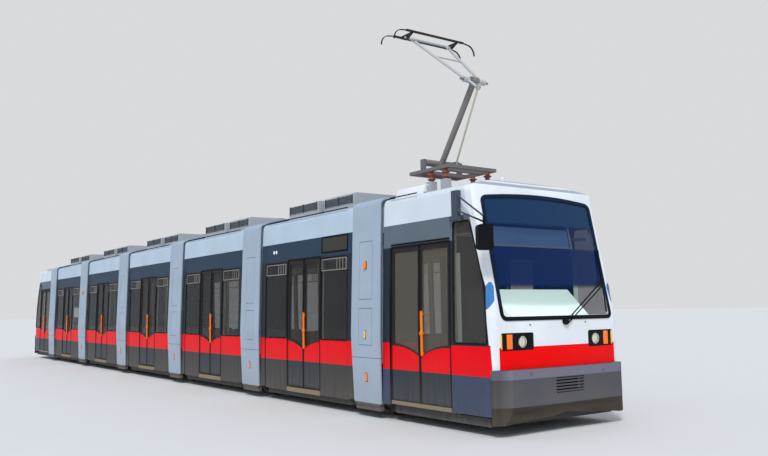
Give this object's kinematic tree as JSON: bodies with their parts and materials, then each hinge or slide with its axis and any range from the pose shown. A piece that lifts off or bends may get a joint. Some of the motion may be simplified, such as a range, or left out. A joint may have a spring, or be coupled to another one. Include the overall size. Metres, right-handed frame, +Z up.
{
  "type": "low-floor articulated tram",
  "caption": "Low-floor articulated tram of short hollow modules hung between wheel portals, with plug doors, free wheels and a single-arm pantograph.",
  "frame": {"origin": "on the track centre line, half way along the tram, on the level that the wheels stand on", "axes": "+Z up, +Y towards the rear end, so that the front faces -Y, and the passenger doors are on the -X side"},
  "size_m": [2.6047, 24.2223, 5.7],
  "materials": {
    "body_paint": "satin",
    "interior": "matt",
    "door_frame": "satin",
    "glass": "clear",
    "mask_paint": "gloss",
    "bumper": "satin",
    "lamps": "gloss",
    "portal_paint": "satin",
    "wheel_steel": "machined",
    "pantograph_metal": "satin",
    "black_trim": "satin",
    "desk": "satin"
  },
  "bodies": {
    "module_1": {"module_1_shell": "body_paint", "module_1_floor": "interior", "module_1_doors": "door_frame", "module_1_glass": "glass", "front_mask": "mask_paint", "front_bumper": "bumper", "front_lamps": "lamps", "wiper": "black_trim", "mirror": "black_trim", "cab_desk": "desk", "pantograph_base": "pantograph_metal"},
    "module_2": {"module_2_shell": "body_paint", "module_2_floor": "interior", "module_2_doors": "door_frame", "module_2_glass": "glass"},
    "module_3": {"module_3_shell": "body_paint", "module_3_floor": "interior", "module_3_doors": "door_frame", "module_3_glass": "glass"},
    "module_4": {"module_4_shell": "body_paint", "module_4_floor": "interior", "module_4_doors": "door_frame", "module_4_glass": "glass"},
    "module_5": {"module_5_shell": "body_paint", "module_5_floor": "interior", "module_5_doors": "door_frame", "module_5_glass": "glass"},
    "module_6": {"module_6_shell": "body_paint", "module_6_floor": "interior", "module_6_doors": "door_frame", "module_6_glass": "glass"},
    "module_7": {"module_7_shell": "body_paint", "module_7_floor": "interior", "module_7_doors": "door_frame", "module_7_glass": "glass", "rear_mask": "mask_paint", "rear_bumper": "bumper", "rear_lamps": "lamps"},
    "portal_1": {"portal_1": "portal_paint"},
    "wheel_1_door_side": {"wheel_1_door_side": "wheel_steel"},
    "wheel_1_far_side": {"wheel_1_far_side": "wheel_steel"},
    "portal_2": {"portal_2": "portal_paint"},
    "wheel_2_door_side": {"wheel_2_door_side": "wheel_steel"},
    "wheel_2_far_side": {"wheel_2_far_side": "wheel_steel"},
    "portal_3": {"portal_3": "portal_paint"},
    "wheel_3_door_side": {"wheel_3_door_side": "wheel_steel"},
    "wheel_3_far_side": {"wheel_3_far_side": "wheel_steel"},
    "portal_4": {"portal_4": "portal_paint"},
    "wheel_4_door_side": {"wheel_4_door_side": "wheel_steel"},
    "wheel_4_far_side": {"wheel_4_far_side": "wheel_steel"},
    "portal_5": {"portal_5": "portal_paint"},
    "wheel_5_door_side": {"wheel_5_door_side": "wheel_steel"},
    "wheel_5_far_side": {"wheel_5_far_side": "wheel_steel"},
    "portal_6": {"portal_6": "portal_paint"},
    "wheel_6_door_side": {"wheel_6_door_side": "wheel_steel"},
    "wheel_6_far_side": {"wheel_6_far_side": "wheel_steel"},
    "pantograph_lower_arm": {"pantograph_lower_arm": "pantograph_metal"},
    "pantograph_upper_arm": {"pantograph_upper_arm": "pantograph_metal"},
    "pantograph_rod": {"pantograph_rod": "pantograph_metal"},
    "pantograph_head": {"pantograph_head": "pantograph_metal"}
  },
  "joints": [
    {"name": "articulation_1", "type": "hinge", "parent": "module_2", "child": "portal_1", "pos_m": [0, -9.3825, 0], "axis": [0, 0, 1], "range_deg": [-6, 6]},
    {"name": "articulation_1_outer", "type": "hinge", "parent": "portal_1", "child": "module_1", "pos_m": [0, -9.3825, 0], "axis": [0, 0, 1], "range_deg": [-6, 6]},
    {"name": "articulation_2", "type": "hinge", "parent": "module_3", "child": "portal_2", "pos_m": [0, -5.6295, 0], "axis": [0, 0, 1], "range_deg": [-6, 6]},
    {"name": "articulation_2_outer", "type": "hinge", "parent": "portal_2", "child": "module_2", "pos_m": [0, -5.6295, 0], "axis": [0, 0, 1], "range_deg": [-6, 6]},
    {"name": "articulation_3", "type": "hinge", "parent": "module_4", "child": "portal_3", "pos_m": [0, -1.8765, 0], "axis": [0, 0, 1], "range_deg": [-6, 6]},
    {"name": "articulation_3_outer", "type": "hinge", "parent": "portal_3", "child": "module_3", "pos_m": [0, -1.8765, 0], "axis": [0, 0, 1], "range_deg": [-6, 6]},
    {"name": "articulation_4", "type": "hinge", "parent": "module_4", "child": "portal_4", "pos_m": [0, 1.8765, 0], "axis": [0, 0, 1], "range_deg": [-6, 6]},
    {"name": "articulation_4_outer", "type": "hinge", "parent": "portal_4", "child": "module_5", "pos_m": [0, 1.8765, 0], "axis": [0, 0, 1], "range_deg": [-6, 6]},
    {"name": "articulation_5", "type": "hinge", "parent": "module_5", "child": "portal_5", "pos_m": [0, 5.6295, 0], "axis": [0, 0, 1], "range_deg": [-6, 6]},
    {"name": "articulation_5_outer", "type": "hinge", "parent": "portal_5", "child": "module_6", "pos_m": [0, 5.6295, 0], "axis": [0, 0, 1], "range_deg": [-6, 6]},
    {"name": "articulation_6", "type": "hinge", "parent": "module_6", "child": "portal_6", "pos_m": [0, 9.3825, 0], "axis": [0, 0, 1], "range_deg": [-6, 6]},
    {"name": "articulation_6_outer", "type": "hinge", "parent": "portal_6", "child": "module_7", "pos_m": [0, 9.3825, 0], "axis": [0, 0, 1], "range_deg": [-6, 6]},
    {"name": "wheel_1_door_side_spin", "type": "hinge", "parent": "portal_1", "child": "wheel_1_door_side", "pos_m": [-0.75, -9.3825, 0.342], "axis": [1, 0, 0], "continuous": true},
    {"name": "wheel_1_far_side_spin", "type": "hinge", "parent": "portal_1", "child": "wheel_1_far_side", "pos_m": [0.75, -9.3825, 0.342], "axis": [1, 0, 0], "continuous": true},
    {"name": "wheel_2_door_side_spin", "type": "hinge", "parent": "portal_2", "child": "wheel_2_door_side", "pos_m": [-0.75, -5.6295, 0.342], "axis": [1, 0, 0], "continuous": true},
    {"name": "wheel_2_far_side_spin", "type": "hinge", "parent": "portal_2", "child": "wheel_2_far_side", "pos_m": [0.75, -5.6295, 0.342], "axis": [1, 0, 0], "continuous": true},
    {"name": "wheel_3_door_side_spin", "type": "hinge", "parent": "portal_3", "child": "wheel_3_door_side", "pos_m": [-0.75, -1.8765, 0.342], "axis": [1, 0, 0], "continuous": true},
    {"name": "wheel_3_far_side_spin", "type": "hinge", "parent": "portal_3", "child": "wheel_3_far_side", "pos_m": [0.75, -1.8765, 0.342], "axis": [1, 0, 0], "continuous": true},
    {"name": "wheel_4_door_side_spin", "type": "hinge", "parent": "portal_4", "child": "wheel_4_door_side", "pos_m": [-0.75, 1.8765, 0.342], "axis": [1, 0, 0], "continuous": true},
    {"name": "wheel_4_far_side_spin", "type": "hinge", "parent": "portal_4", "child": "wheel_4_far_side", "pos_m": [0.75, 1.8765, 0.342], "axis": [1, 0, 0], "continuous": true},
    {"name": "wheel_5_door_side_spin", "type": "hinge", "parent": "portal_5", "child": "wheel_5_door_side", "pos_m": [-0.75, 5.6295, 0.342], "axis": [1, 0, 0], "continuous": true},
    {"name": "wheel_5_far_side_spin", "type": "hinge", "parent": "portal_5", "child": "wheel_5_far_side", "pos_m": [0.75, 5.6295, 0.342], "axis": [1, 0, 0], "continuous": true},
    {"name": "wheel_6_door_side_spin", "type": "hinge", "parent": "portal_6", "child": "wheel_6_door_side", "pos_m": [-0.75, 9.3825, 0.342], "axis": [1, 0, 0], "continuous": true},
    {"name": "wheel_6_far_side_spin", "type": "hinge", "parent": "portal_6", "child": "wheel_6_far_side", "pos_m": [0.75, 9.3825, 0.342], "axis": [1, 0, 0], "continuous": true},
    {"name": "pantograph_raise", "type": "hinge", "parent": "module_1", "child": "pantograph_lower_arm", "pos_m": [0, -9.7325, 3.675], "axis": [1, 0, 0], "range_deg": [-10, 47]},
    {"name": "pantograph_knee", "type": "hinge", "parent": "pantograph_lower_arm", "child": "pantograph_upper_arm", "pos_m": [0, -10.5075, 4.775], "axis": [1, 0, 0], "range_deg": [-82.09, 17.86]},
    {"name": "pantograph_head_level", "type": "hinge", "parent": "pantograph_upper_arm", "child": "pantograph_head", "pos_m": [0, -9.4925, 5.64], "axis": [1, 0, 0], "range_deg": [-7.86, 35.09]},
    {"name": "pantograph_rod_swing", "type": "hinge", "parent": "module_1", "child": "pantograph_rod", "pos_m": [0, -10.1625, 3.6], "axis": [1, 0, 0], "range_deg": [-11.52, 52.29]}
  ],
  "couplings": [
    {"joint": "articulation_1_outer", "follows": "articulation_1", "ratio": 1},
    {"joint": "articulation_2_outer", "follows": "articulation_2", "ratio": 1},
    {"joint": "articulation_3_outer", "follows": "articulation_3", "ratio": 1},
    {"joint": "articulation_4_outer", "follows": "articulation_4", "ratio": 1},
    {"joint": "articulation_5_outer", "follows": "articulation_5", "ratio": 1},
    {"joint": "articulation_6_outer", "follows": "articulation_6", "ratio": 1},
    {"joint": "pantograph_knee", "follows": "pantograph_raise", "ratio": -1.736},
    {"joint": "pantograph_head_level", "follows": "pantograph_raise", "ratio": 0.736},
    {"joint": "pantograph_rod_swing", "follows": "pantograph_raise", "ratio": 1.102}
  ]
}
